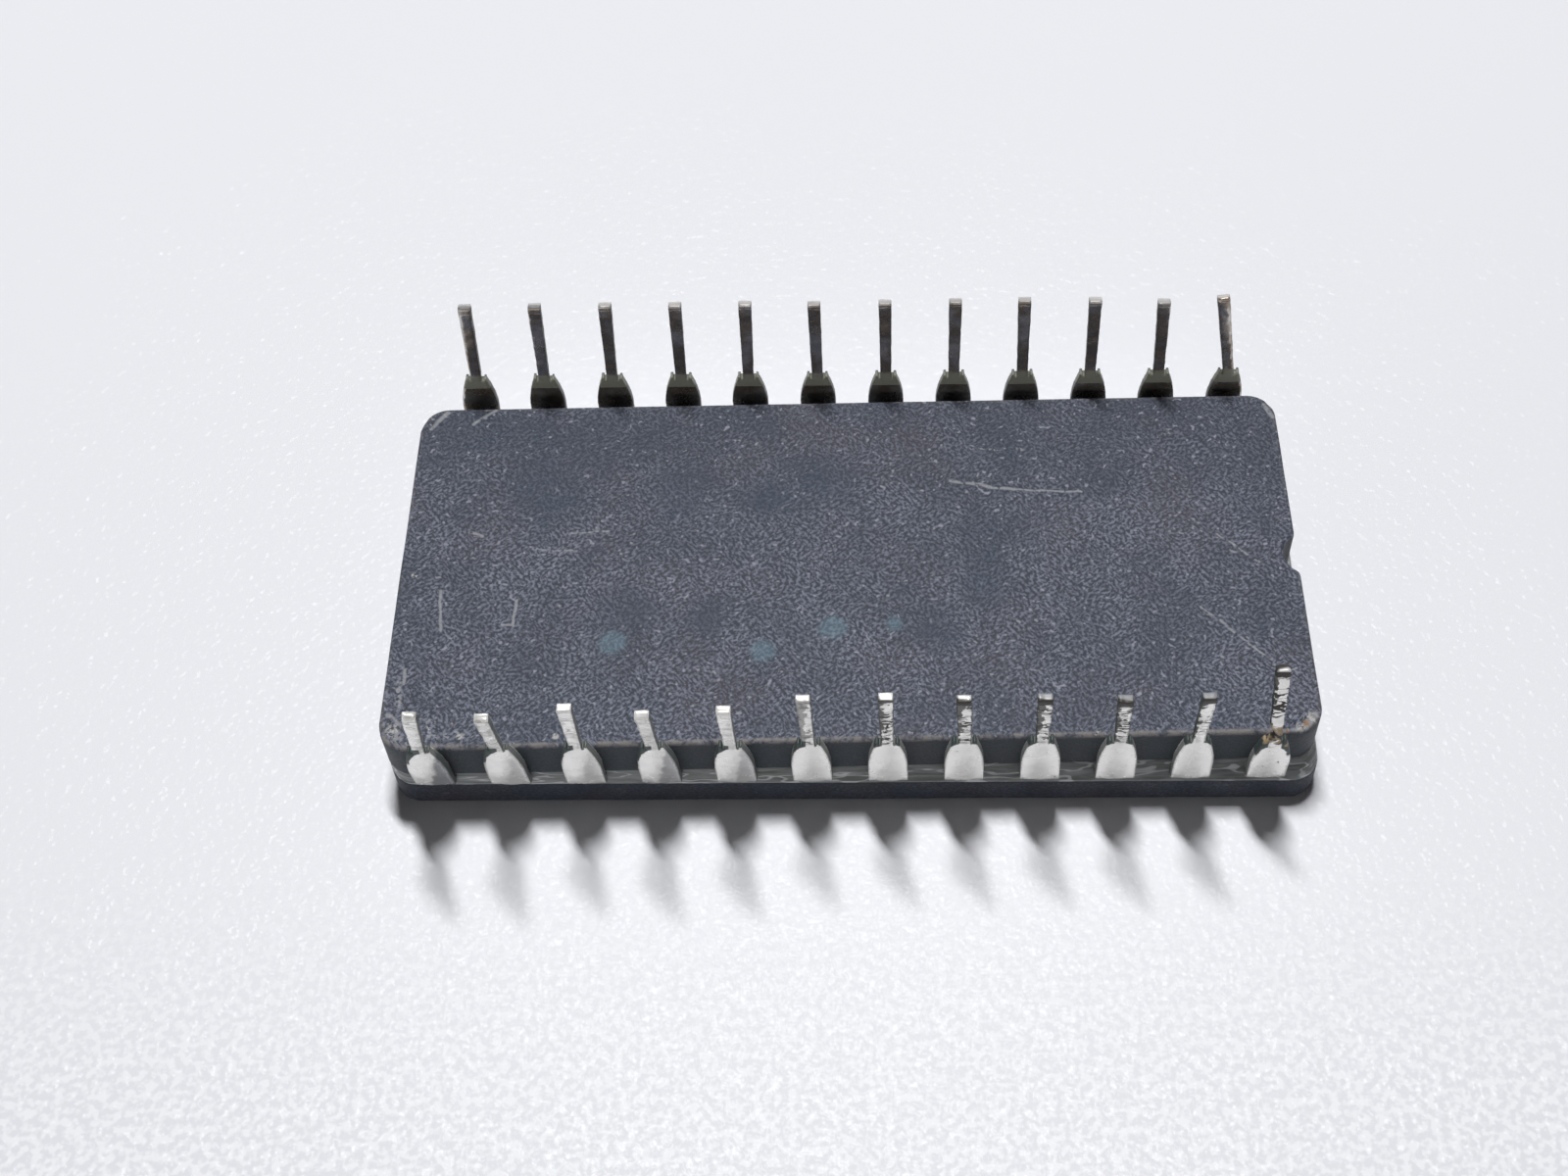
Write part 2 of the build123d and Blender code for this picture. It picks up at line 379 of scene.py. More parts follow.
# %% Group: soft spot
# A disc seen from above, with an edge that a noise makes ragged
spot, given, result = new_group("soft spot", {
    "Vector": (VECTOR, (0, 0, 0)),
    "Middle": (VECTOR, (0, 0, 0)),
    "Radius": (FLOAT, 1.0),
    "Edge": (FLOAT, 0.3),
    "Ragged": (FLOAT, 0.3),
}, "Mask")
flat = vectors(spot, "MULTIPLY", given["Vector"], (1, 1, 0))
reach = vectors(spot, "DISTANCE", flat, given["Middle"])
shake = maths(spot, "SUBTRACT", noise(spot, given["Vector"], 1.6, 3.0, 0.6), 0.5)
reach = total(spot, reach, product(spot, shake, given["Ragged"], given["Radius"]))
outer = maths(spot, "ADD", given["Radius"], given["Edge"])
connect(spot, smooth_step(spot, reach, outer, given["Radius"]), result)
count_nodes("soft spot", spot)

# %% Group: distance to a rounded outline
# Below zero inside a rounded rectangle, above zero outside it
outline, given, result = new_group("outline distance", {
    "Vector": (VECTOR, (0, 0, 0)),
    "Half Size": (VECTOR, (1, 1, 0)),
    "Corner": (FLOAT, 0.2),
}, "Distance")
inset = combine(outline, given["Corner"], given["Corner"])
inner_half = vectors(outline, "SUBTRACT", given["Half Size"], inset)
folded = vectors(outline, "ABSOLUTE", vectors(outline, "MULTIPLY", given["Vector"], (1, 1, 0)))
folded = vectors(outline, "SUBTRACT", folded, inner_half)
beyond = vectors(outline, "LENGTH", vectors(outline, "MAXIMUM", folded, (0, 0, 0)))
axes = separate(outline, folded)
within = maths(outline, "MINIMUM", maths(outline, "MAXIMUM", axes["X"], axes["Y"]), 0.0)
signed = maths(outline, "ADD", beyond, within)
connect(outline, maths(outline, "SUBTRACT", signed, given["Corner"]), result)
count_nodes("outline distance", outline)

# %% Group: patches
# Cloudy areas that cover about the given share of a surface
patches, given, result = new_group("patches", {
    "Vector": (VECTOR, (0, 0, 0)),
    "Size": (FLOAT, 1.0),
    "Share": (FLOAT, 0.4),
    "Softness": (FLOAT, 0.1),
}, "Mask")
patch_noise = noise(patches, given["Vector"], maths(patches, "DIVIDE", 1.0, given["Size"]), 4.0, 0.6)
patch_start = maths(patches, "SUBTRACT", 1.0, given["Share"])
patch_end = maths(patches, "ADD", patch_start, given["Softness"])
connect(patches, smooth_step(patches, patch_noise, patch_start, patch_end), result)
count_nodes("patches", patches)

# %% [markdown]
# The ceramic.
#
# Pressed alumina, coloured nearly black, fired and then handled for years. Close up it is a slate ground with
# pale flecks about 0.15 mm apart, and larger areas that are a little warmer or cooler. Both slabs have the
# same ground, so one function builds it, and the base then gets its marks on top.

# %% Ceramic ground
SLATE = (0.035, 0.042, 0.06, 1)
SLATE_WARM = (0.045, 0.045, 0.061, 1)
SLATE_COOL = (0.032, 0.046, 0.071, 1)
FLECK = (0.195, 0.212, 0.275, 1)
GRIT = (0.42, 0.43, 0.5, 1)
FLECK_LENGTH, FLECK_WIDTH = 0.15, 0.1


def ceramic_ground(tree, place, fleck_strength):
    warm = noise_step(tree, place, (0.3, 3.0, 0.55), 0.46, 0.66)
    ground = mix_colours(tree, warm, SLATE, SLATE_WARM)
    # A noise that is read at a shifted place is another pattern
    shifted = vectors(tree, "ADD", place, (40, 7, 3))
    cool = noise_step(tree, shifted, (0.28, 4.0, 0.65), 0.48, 0.68, 0.0, 0.65)
    ground = mix_colours(tree, cool, ground, SLATE_COOL)
    grains = use_group(tree, flecks, vector=place, length=FLECK_LENGTH, width=FLECK_WIDTH, level=0.48)
    patchy = noise_step(tree, place, (0.5, 4.0, 0.65), 0.35, 0.62, 0.6, 1.0)
    fewer_where_cool = smooth_step(tree, cool, 0.0, 1.0, 1.0, 0.5)
    fewer_at_back = smooth_step(tree, separate(tree, place)["Y"], 6.5, 1.0, 0.62, 1.0)
    patchy = product(tree, patchy, fewer_where_cool, fewer_at_back)
    colour = mix_colours(tree, product(tree, grains, patchy, fleck_strength), ground, FLECK)
    shifted = vectors(tree, "ADD", place, (5, 5, 5))
    grit = noise_step(tree, shifted, (6.5, 0.0), 0.73, 0.82, 0.0, 0.5)
    return mix_colours(tree, product(tree, grit, fleck_strength), colour, GRIT), grains


def ceramic_surface(tree, shader, place, height):
    grain = noise(tree, place, 14.0, 2.0, 0.6)
    connect(tree, smooth_step(tree, grain, 0.3, 0.7, 0.5, 0.66), shader.inputs["Roughness"])
    shader.inputs["Specular IOR Level"].default_value = 0.2
    relief = total(tree, product(tree, grain, 0.4), product(tree, height, 0.6))
    add_bump(tree, relief, 0.6, 0.02, shader.inputs["Normal"])


# %% Cap
OLIVE = (0.04, 0.038, 0.03, 1)
CAP_SHADE = (0.015, 0.016, 0.018, 1)
cap_material, tree, shader, place = new_material("cap ceramic")
colour, fleck_mask = ceramic_ground(tree, place, 0.25)
olive = use_group(tree, patches, vector=place, size=2.5, share=0.5, softness=0.25)
colour = mix_colours(tree, product(tree, olive, 0.5), colour, OLIVE)
colour = mix_colours(tree, 0.35, colour, CAP_SHADE)
connect(tree, colour, shader.inputs["Base Color"])
ceramic_surface(tree, shader, place, fleck_mask)
count_nodes("cap ceramic", tree)

# %% [markdown]
# The marks on the base.
#
# Each scratch is a line from one place to another, in millimetres from the middle of the lead pattern. The
# group makes it wander and break up, so that two points are enough. Spots of thin blue lacquer, soft dark
# stains and bare chips are discs with ragged edges. The rim is pale along its front: partly rubbed wear,
# partly a painted highlight on its rounded edge. The distance to the slab's own outline finds it.

# %% Marks on the base
scratches = {
    "long, left half": ((3.6, 3.28), (5.9, 2.93), 0.09, 0.36),
    "long, right half": ((5.9, 2.93), (8.3, 2.8), 0.06, 0.32),
    "faint, above it": ((4.2, 4.78), (6.3, 4.63), 0.08, 0.5),
    "by the notch": ((13.0, 0.95), (14.4, -0.25), 0.06, 0.4),
    "right corner": ((12.2, -2.1), (14.3, -4.25), 0.07, 0.4),
    "left, upright": ((-14.28, -1.2), (-14.15, -2.75), 0.08, 0.25),
    "hook, upright": ((-11.63, -1.6), (-11.57, -2.6), 0.07, 0.3),
    "hook, foot": ((-11.57, -2.57), (-12.0, -2.56), 0.06, 0.2),
    "short, left": ((-13.6, 1.28), (-13.1, 1.09), 0.07, 0.3),
    "flat, upper": ((-9.95, 1.19), (-8.6, 1.28), 0.06, 0.4),
    "flat, lower": ((-11.3, 0.49), (-9.7, 0.47), 0.06, 0.45),
    "back left": ((-13.95, 6.1), (-13.2, 6.7), 0.09, 0.25),
    "back left corner": ((-15.55, 5.9), (-14.95, 6.6), 0.12, 0.3),
    "back right corner": ((15.3, 6.65), (15.6, 6.1), 0.13, 0.35),
    "left edge, upper": ((-15.13, -4.35), (-15.09, -4.9), 0.09, 0.3),
    "left edge, lower": ((-15.27, -4.86), (-15.13, -5.7), 0.17, 0.42),
    "front left, flat": ((-15.5, -6.1), (-15.1, -6.4), 0.14, 0.4),
    "front left, corner": ((-15.5, -6.4), (-15.0, -7.0), 0.24, 0.42),
    "front left scuff": ((-14.3, -6.9), (-12.7, -6.95), 0.16, 0.5),
    "front left faint": ((-14.3, -6.2), (-13.6, -6.4), 0.12, 0.5),
    "front right rim": ((14.2, -7.05), (15.1, -6.85), 0.14, 0.3),
    "front right corner": ((15.1, -6.85), (15.55, -6.3), 0.16, 0.3),
}
lacquer_spots = (((-8.16, -3.33), 0.5), ((-3.0, -3.73), 0.45), ((-0.59, -2.82), 0.5), ((1.5, -2.7), 0.2))
dark_stains = (
    ((-5.9, 3.0), 1.3), ((-3.1, 2.6), 1.0), ((-0.7, 3.4), 1.1), ((4.5, -1.3), 0.8),
    ((-10.9, 3.0), 1.5), ((-7.7, -2.0), 1.1), ((-5.0, -2.4), 0.8), ((3.1, -2.9), 1.0),
)
chips = (
    ((-15.25, -6.7), 0.16), ((-14.05, -6.6), 0.06), ((-9.79, -6.95), 0.07), ((-13.0, -6.93), 0.07),
    ((15.4, -6.5), 0.14), ((15.05, -6.8), 0.1), ((-15.3, -0.54), 0.07), ((8.2, -7.0), 0.06),
)
brown_dots = (((15.28, -6.69), 0.09), ((-13.25, -6.5), 0.035), ((14.6, -6.95), 0.05))
SCRATCH = (0.36, 0.365, 0.39, 1)
LACQUER = (0.13, 0.2, 0.255, 1)
STAIN = (0.04, 0.055, 0.085, 1)
CHIP = (0.5, 0.49, 0.47, 1)
BROWN = (0.3, 0.16, 0.07, 1)
# Rubbed wear, and a painted highlight on the rounded front edge
RUBBED_AND_HIGHLIGHT = (0.24, 0.225, 0.22, 1)
# Painted light: the side walls are painted paler than the top
WALL_PAINTED_LIGHT = (0.062, 0.071, 0.075, 1)
print(f"{len(scratches)} scratches, {len(chips)} chips, {len(dark_stains)} stains")

# %% Base: ground, painted light on the walls, stains and lacquer
base_material, tree, shader, place = new_material("base ceramic")
on_top = smooth_step(tree, separate(tree, place)["Z"], base_top - 0.2, base_top - 0.05)
colour, fleck_mask = ceramic_ground(tree, place, smooth_step(tree, on_top, 0.0, 1.0, 0.15, 1.0))
# The side walls are painted paler: painted light, making up for the lamp that doesn't reach them
colour = mix_colours(tree, smooth_step(tree, on_top, 0.0, 1.0, 0.6, 0.0), colour, WALL_PAINTED_LIGHT)

for (x, y), radius in dark_stains:
    mask = use_group(tree, spot, vector=place, middle=(x, y, 0), radius=radius * 0.4, edge=radius, ragged=1.5)
    colour = mix_colours(tree, product(tree, mask, 0.45), colour, STAIN)
thin = smooth_step(tree, fleck_mask, 0.0, 1.0, 0.55, 1.0)
for (x, y), radius in lacquer_spots:
    mask = use_group(tree, spot, vector=place, middle=(x, y, 0), radius=radius * 0.6, edge=0.3, ragged=1.2)
    colour = mix_colours(tree, product(tree, mask, 0.85, on_top, thin), colour, LACQUER)
count_nodes("base ceramic, so far", tree)

# %% Base: rim wear and painted highlight, scratches and chips
shift_x, shift_y, turn = BASE_PLACE
own_place = add_node(tree, "ShaderNodeMapping", {
    "Vector": place, "Location": (shift_x, shift_y, 0), "Rotation": (0, 0, turn),
}, vector_type="TEXTURE").outputs[0]
half_size = (SLAB_LENGTH / 2, SLAB_WIDTH / 2, 0)
edge = use_group(tree, outline, vector=own_place, half_size=half_size, corner=CORNER)
# Along the front the rim is painted pale: rubbed wear, and a painted highlight on the rounded edge
rim = product(tree, smooth_step(tree, edge, -0.2, -0.09), on_top)
along_front = smooth_step(tree, separate(tree, place)["Y"], -6.3, -6.7, 0.25, 1.0)
worn = noise_step(tree, place, (1.8, 4.0, 0.65), 0.42, 0.56, 0.15, 0.9)
colour = mix_colours(tree, product(tree, rim, along_front, worn), colour, RUBBED_AND_HIGHLIGHT)

pale = greatest(tree, *(
    use_group(tree, scratch, vector=place, start=(*start, 0), end=(*end, 0), width=width, breaks=breaks)
    for start, end, width, breaks in scratches.values()
))
colour = mix_colours(tree, product(tree, pale, on_top, 0.65), colour, SCRATCH)
crumbs = noise_step(tree, place, (6.0, 3.0, 0.65), 0.44, 0.54)
for places, paint in ((chips, CHIP), (brown_dots, BROWN)):
    for (x, y), radius in places:
        mask = use_group(tree, spot, vector=place, middle=(x, y, 0), radius=radius, edge=radius, ragged=1.0)
        colour = mix_colours(tree, product(tree, mask, crumbs, 0.85), colour, paint)
connect(tree, colour, shader.inputs["Base Color"])
ceramic_surface(tree, shader, place, maths(tree, "SUBTRACT", fleck_mask, pale))
count_nodes("base ceramic", tree)

# %% [markdown]
# The sealing glass.
#
# It is a low-melting glass, opaque and dark grey-green, that flowed in the furnace. It shines more than the
# ceramic, and it carries streaks along its length. A noise on stretched coordinates gives the streaks: the
# place is multiplied by more in height than in length, so the pattern is drawn out along the seam. Where
# another such noise passes its middle value there is a thin pale line, a painted highlight on the ripples.

# %% Seal glass
GLASS_DARK = (0.17, 0.183, 0.183, 1)
GLASS_PALE = (0.28, 0.3, 0.31, 1)
# Pale, for the painted highlights on the glass's ripples
GLASS_HIGHLIGHT = (0.75, 0.78, 0.8, 1)
glass_material, tree, shader, place = new_material("seal glass")
streaks = noise(tree, vectors(tree, "MULTIPLY", place, (0.5, 3.0, 6.0)), 1.0, 3.0, 0.6)
colour = mix_colours(tree, smooth_step(tree, streaks, 0.35, 0.7), GLASS_DARK, GLASS_PALE)
layers = noise(tree, vectors(tree, "MULTIPLY", place, (0.45, 0.8, 3.5)), 1.0, 2.0)
# Painted highlights: thin pale arcs, where the glass's ripples would catch the light
arc_highlight = smooth_step(tree, maths(tree, "ABSOLUTE", maths(tree, "SUBTRACT", layers, 0.5)), 0.03, 0.008)
colour = mix_colours(tree, product(tree, arc_highlight, 0.6), colour, GLASS_HIGHLIGHT)
connect(tree, colour, shader.inputs["Base Color"])
connect(tree, smooth_step(tree, streaks, 0.3, 0.7, 0.2, 0.4), shader.inputs["Roughness"])
shader.inputs["Specular IOR Level"].default_value = 0.3
add_bump(tree, streaks, 0.5, 0.05, shader.inputs["Normal"])
count_nodes("seal glass", tree)

# %% [markdown]
# The tin on the leads.
#
# The leads were dipped in tin after they were bent. Where it is sound it mirrors the pale table, softly,
# because it is not quite flat. Where it has gone, there are dark, dull, ragged patches. Each lead could have
# a material of its own, but one serves them all. Geometry Nodes, further on, store on each lead where a
# point lies on it (own place), how much painted shade its right half gets and how it has aged (looks), and
# whether it is the rusted one (rust), and the material works out its masks from those. Heights are in
# millimetres above the table.

# %% Tin: where a point lies
TIN = (0.98, 0.97, 0.95, 1)
TIN_CLOUD = (0.8, 0.8, 0.79, 1)
# Brown tint and painted shade for the back row's inner faces
TIN_BACK_SHADE = (0.3, 0.25, 0.205, 1)
# Dull tips, and the painted shade on the shanks' right halves and feet
TIN_DULL_AND_SHADE = (0.15, 0.16, 0.18, 1)
TARNISH = (0.02, 0.017, 0.014, 1)
# Dark beside the neck and on the shoulder's top, and painted shade on the leads' sides
DARK_PATCH_AND_SHADE = (0.035, 0.05, 0.048, 1)
SHOULDER_PALE = (0.24, 0.245, 0.2, 1)
RUST = (0.34, 0.26, 0.16, 1)

tin_material, tree, shader, place = new_material("tin")
own = separate(tree, attribute(tree, "own place"))
sideways, height, from_tip = own["X"], own["Y"], own["Z"]
looks = separate(tree, attribute(tree, "looks"))
right_half_shade_amount, dull_tip, wear = looks["X"], looks["Y"], looks["Z"]
rusty = attribute(tree, "rust", "Fac")
turned = separate(tree, add_node(tree, "ShaderNodeNewGeometry").outputs["Normal"])
back_row = smooth_step(tree, separate(tree, place)["Y"], -1.0, 1.0)
front_row = maths(tree, "SUBTRACT", 1.0, back_row)
back_inside = product(tree, back_row, smooth_step(tree, turned["Y"], 0.3, -0.1))
on_pin = smooth_step(tree, height, 4.15, 4.35)
below_pin = maths(tree, "SUBTRACT", 1.0, on_pin)
blur = maths(tree, "SUBTRACT", noise(tree, place, 2.5, 3.0, 0.6), 0.5)


def ragged(value, amount):
    return total(tree, value, product(tree, blur, amount))


def band(value, rise, fall):
    return product(tree, smooth_step(tree, value, *rise), smooth_step(tree, value, *fall))


count_nodes("tin, so far", tree)

# %% Tin: sound metal
# Clouds of grey, and on the back row's inner faces a brown tint with painted shade, as they see only dark
# ceramic
clouds = noise_step(tree, place, (1.4, 3.0, 0.6), 0.45, 0.7, 0.0, 0.5)
colour = mix_colours(tree, clouds, TIN, TIN_CLOUD)
brown_and_shade = noise_step(tree, place, (1.1, 3.0, 0.6), 0.35, 0.6, 0.6, 1.0)
colour = mix_colours(tree, product(tree, brown_and_shade, back_inside), colour, TIN_BACK_SHADE)

# Painted shade: some shanks have a darker right half and all a darker foot, for the shadowed floor they
# mirror
slope = product(tree, maths(tree, "SUBTRACT", height, 3.0), 0.12)
border = ragged(maths(tree, "SUBTRACT", sideways, slope), 0.5)
right_half_shade = product(tree, smooth_step(tree, border, -0.02, 0.2), right_half_shade_amount, below_pin)
foot = product(tree, smooth_step(tree, ragged(height, 1.5), 2.05, 1.6), below_pin, 0.35)
colour = mix_colours(tree, greatest(tree, right_half_shade, foot), colour, TIN_DULL_AND_SHADE)
count_nodes("tin, so far", tree)

# %% Tin: cracks, pits and cut tips
# Cracks run across the pins: a line where a flattened noise passes its middle value
flat = vectors(tree, "MULTIPLY", place, (1.3, 1.3, 4.2))
layer = maths(tree, "ABSOLUTE", maths(tree, "SUBTRACT", noise(tree, flat, 1.0, 2.0), 0.5))
cracked_start = maths(tree, "SUBTRACT", 0.56, product(tree, wear, 0.18))
cracked = smooth_step(tree, noise(tree, place, 1.0, 2.0), cracked_start, total(tree, cracked_start, 0.06))
by_wear = smooth_step(tree, wear, 0.1, 0.9, 0.1, 1.0)
crack = product(tree, smooth_step(tree, layer, 0.05, 0.028), cracked, by_wear, on_pin)
pit_start = maths(tree, "SUBTRACT", 0.74, product(tree, wear, 0.14))
pit_start = total(tree, pit_start, product(tree, below_pin, 0.1))
pits = smooth_step(tree, noise(tree, place, 3.6, 3.0, 0.6), pit_start, total(tree, pit_start, 0.03))
left_edge = smooth_step(tree, ragged(sideways, 0.9), -0.18, -0.21)
left_edge = product(tree, left_edge, smooth_step(tree, wear, 0.4, 0.8), on_pin, 0.9)
off_tip = smooth_step(tree, from_tip, 0.02, 0.06)
tarnish = product(tree, greatest(tree, crack, pits, left_edge), front_row, off_tip)

# The line under the cut tip: thin on most pins, thick and black where the tip itself is dull
line_end = ragged(total(tree, 0.07, product(tree, dull_tip, 0.16), product(tree, wear, 0.1)), 0.16)
line = band(from_tip, (0.02, 0.035), (total(tree, line_end, 0.03), line_end))
line = product(tree, line, smooth_step(tree, wear, 0.5, 0.85, 0.3, 1.0))
tarnish = greatest(tree, tarnish, line)
tip_dull = greatest(tree, dull_tip, product(tree, back_row, 0.6))
tip_dull = product(tree, smooth_step(tree, from_tip, 0.035, 0.02), tip_dull)
colour = mix_colours(tree, product(tree, tip_dull, 0.95), colour, TIN_DULL_AND_SHADE)
colour = mix_colours(tree, tarnish, colour, TARNISH)
count_nodes("tin, so far", tree)

# %% Tin: bare metal, oxide and rust
# Dark and matt outside the drop of tin on the shoulder and on the shoulder's top, and painted shade on the
# cut sides
DROP_MIDDLE, DROP_HALF_WIDTH, DROP_HALF_HEIGHT = 3.25, 0.66, 0.95
reach_x = maths(tree, "POWER", maths(tree, "DIVIDE", sideways, DROP_HALF_WIDTH), 2.0)
above_middle = maths(tree, "SUBTRACT", height, DROP_MIDDLE)
reach_z = maths(tree, "POWER", maths(tree, "DIVIDE", above_middle, DROP_HALF_HEIGHT), 2.0)
drop = total(tree, ragged(total(tree, reach_x, reach_z), 0.5), product(tree, rusty, 0.5))
beside_neck = smooth_step(tree, maths(tree, "ABSOLUTE", sideways), 0.18, 0.24)
around_drop = product(tree, smooth_step(tree, drop, 0.98, 1.08), beside_neck, front_row)
around_drop = product(tree, around_drop, band(height, (3.2, 3.4), (4.62, 4.52)))
shaded_side_faces = smooth_step(tree, maths(tree, "ABSOLUTE", turned["X"]), 0.72, 0.9)
shoulder_top = smooth_step(tree, turned["Z"], 0.35, 0.6)
shoulder_top = product(tree, shoulder_top, band(height, (3.95, 4.05), (4.6, 4.5)))
# bare: dark beside the neck and on the shoulder's top, and painted shade on the sides
bare = greatest(tree, around_drop, product(tree, shaded_side_faces, 0.8), product(tree, shoulder_top, 0.95))
colour = mix_colours(tree, bare, colour, DARK_PATCH_AND_SHADE)

# The back shoulders: a pale band with a straight lower edge
pale_band = product(tree, band(height, (3.74, 3.78), (4.5, 4.3)), back_inside)
colour = mix_colours(tree, pale_band, colour, SHOULDER_PALE)

# Rust round the eaten neck
neck_height = ragged(height, 1.6)
neck = product(tree, band(neck_height, (4.1, 4.25), (5.3, 4.9)), rusty)
rust_noise = noise(tree, place, 3.2, 3.0, 0.6)
colour = mix_colours(tree, product(tree, neck, smooth_step(tree, rust_noise, 0.42, 0.5)), colour, RUST)
rust_pit = product(tree, neck, smooth_step(tree, rust_noise, 0.5, 0.45))
rust_pit = product(tree, rust_pit, smooth_step(tree, neck_height, 4.95, 4.7))
colour = mix_colours(tree, rust_pit, colour, TARNISH)
count_nodes("tin, so far", tree)

# %% Tin: into the shader
# Where the tin is lost, and on the painted-shade sides, there is no metal to mirror. Old tin on the front row
# has a thin matt skin as well
connect(tree, colour, shader.inputs["Base Color"])
matt_marks = greatest(tree, tarnish, bare, pale_band, neck, tip_dull)
matt_skin = total(tree, product(tree, front_row, 0.7), product(tree, back_inside, below_pin, 0.14))
metal = product(tree, maths(tree, "SUBTRACT", 1.0, matt_marks), maths(tree, "SUBTRACT", 1.0, matt_skin))
connect(tree, metal, shader.inputs["Metallic"])
ripple = noise(tree, place, 2.2, 3.0, 0.5)
roughness = smooth_step(tree, ripple, 0.3, 0.7, 0.16, 0.3)
connect(tree, total(tree, roughness, product(tree, matt_marks, 0.3)), shader.inputs["Roughness"])
relief = maths(tree, "SUBTRACT", product(tree, ripple, 0.4), product(tree, tarnish, 0.6))
add_bump(tree, relief, 0.5, 0.04, shader.inputs["Normal"])
count_nodes("tin", tree)

# %% [markdown]
# The pieces inside, which only a saw or an X-ray would show: silicon, the bond under it, and thin wires.
#
# Nobody sees them while the package is closed, so each finish is one pattern and no more: bricks for the
# blocks of memory cells on the die, and a fine noise for the grain of the bond and of the drawn wire.

# %% Inner pieces
CELLS_BLUE, CELLS_PURPLE = (0.25, 0.26, 0.32, 1), (0.33, 0.3, 0.36, 1)
BETWEEN_CELLS = (0.5, 0.48, 0.45, 1)
BOND_DARK, BOND_PALE = (0.45, 0.43, 0.4, 1), (0.68, 0.66, 0.62, 1)
WIRE_DARK, WIRE_PALE = (0.7, 0.7, 0.72, 1), (0.85, 0.85, 0.86, 1)

silicon_material, tree, shader, place = new_material("silicon")
cells = add_node(tree, "ShaderNodeTexBrick", {
    "Vector": place, "Color1": CELLS_BLUE, "Color2": CELLS_PURPLE, "Mortar": BETWEEN_CELLS,
    "Scale": 6.0, "Mortar Size": 0.02,
})
connect(tree, cells.outputs["Color"], shader.inputs["Base Color"])
shader.inputs["Metallic"].default_value = 0.8
shader.inputs["Roughness"].default_value = 0.15
count_nodes("silicon", tree)

bond_material, tree, shader, place = new_material("die bond")
grains = mix_colours(tree, noise(tree, place, 12.0, 3.0), BOND_DARK, BOND_PALE)
connect(tree, grains, shader.inputs["Base Color"])
shader.inputs["Roughness"].default_value = 0.6
count_nodes("die bond", tree)

wire_material, tree, shader, place = new_material("aluminium wire")
drawn = mix_colours(tree, noise(tree, place, 20.0, 2.0), WIRE_DARK, WIRE_PALE)
connect(tree, drawn, shader.inputs["Base Color"])
shader.inputs["Metallic"].default_value = 1.0
shader.inputs["Roughness"].default_value = 0.3
count_nodes("aluminium wire", tree)

# %% [markdown]
# Building a piece from rings.
#
# A pressed slab is the same outline all the way up, only a little smaller where an edge is rounded. So it
# can be built as rings: the outline at one height after another, stitched together. Rings put the faces
# where the detail is, at the edges, and leave the flat middle plain.
#
# The outline is walked in ten stretches, and each has a fixed number of steps, so the rings always match.

# %% Plan outline
STEP = 0.13
NOTCH_STEPS = 18


def arc(middle, radius, start, end, count):
    points = []
    for index in range(count):
        angle = math.radians(start + (end - start) * index / count)
        points.append((middle[0] + radius * math.cos(angle), middle[1] + radius * math.sin(angle)))
    return points


def run(start, end, count):
    return [
        (start[0] + (end[0] - start[0]) * index / count, start[1] + (end[1] - start[1]) * index / count)
        for index in range(count)
    ]


def slab_outline(inset):
    half_x = SLAB_LENGTH / 2 - inset
    half_y = SLAB_WIDTH / 2 - inset
    corner = max(CORNER - inset, 0.15)
    middle_x = SLAB_LENGTH / 2 + NOTCH_RADIUS - NOTCH_DEPTH
    notch = NOTCH_RADIUS + inset
    lip = math.sqrt(notch ** 2 - (middle_x - half_x) ** 2)
    opening = math.degrees(math.asin(lip / notch))
    corner_x, corner_y = half_x - corner, half_y - corner
    long_count = round(SLAB_LENGTH / STEP)
    side_count = round(SLAB_WIDTH / STEP)
    half_count = round(SLAB_WIDTH / 2 / STEP)
    corner_count = round(math.pi / 2 * CORNER / STEP * 1.6)
    points = run((half_x, lip), (half_x, corner_y), half_count)
    points += arc((corner_x, corner_y), corner, 0, 90, corner_count)
    points += run((corner_x, half_y), (-corner_x, half_y), long_count)
    points += arc((-corner_x, corner_y), corner, 90, 180, corner_count)
    points += run((-half_x, corner_y), (-half_x, -corner_y), side_count)
    points += arc((-corner_x, -corner_y), corner, 180, 270, corner_count)
    points += run((-corner_x, -half_y), (corner_x, -half_y), long_count)
    points += arc((corner_x, -corner_y), corner, 270, 360, corner_count)
    points += run((half_x, -corner_y), (half_x, -lip), half_count)
    points += arc((middle_x, 0), notch, 180 + opening, 180 - opening, NOTCH_STEPS)
    return soften_lips(points)


def soften_lips(points):
    # The two sharp lips of the notch are worn round
    notch_start = len(points) - NOTCH_STEPS
    lips = [notch_start + k for k in (-1, 0, 1)] + [k % len(points) for k in (-1, 0, 1)]
    for _ in range(3):
        before = list(points)
        for index in lips:
            previous, following = before[index - 1], before[(index + 1) % len(points)]
            points[index] = tuple(
                0.5 * here + 0.25 * (one + other)
                for here, one, other in zip(before[index], previous, following)
            )
    return points


print("points in an outline:", len(slab_outline(0)))

# %% Rings to a mesh
def placed(point, place):
    shift_x, shift_y, turn = place
    x, y = point
    return (
        shift_x + x * math.cos(turn) - y * math.sin(turn),
        shift_y + x * math.sin(turn) + y * math.cos(turn),
    )


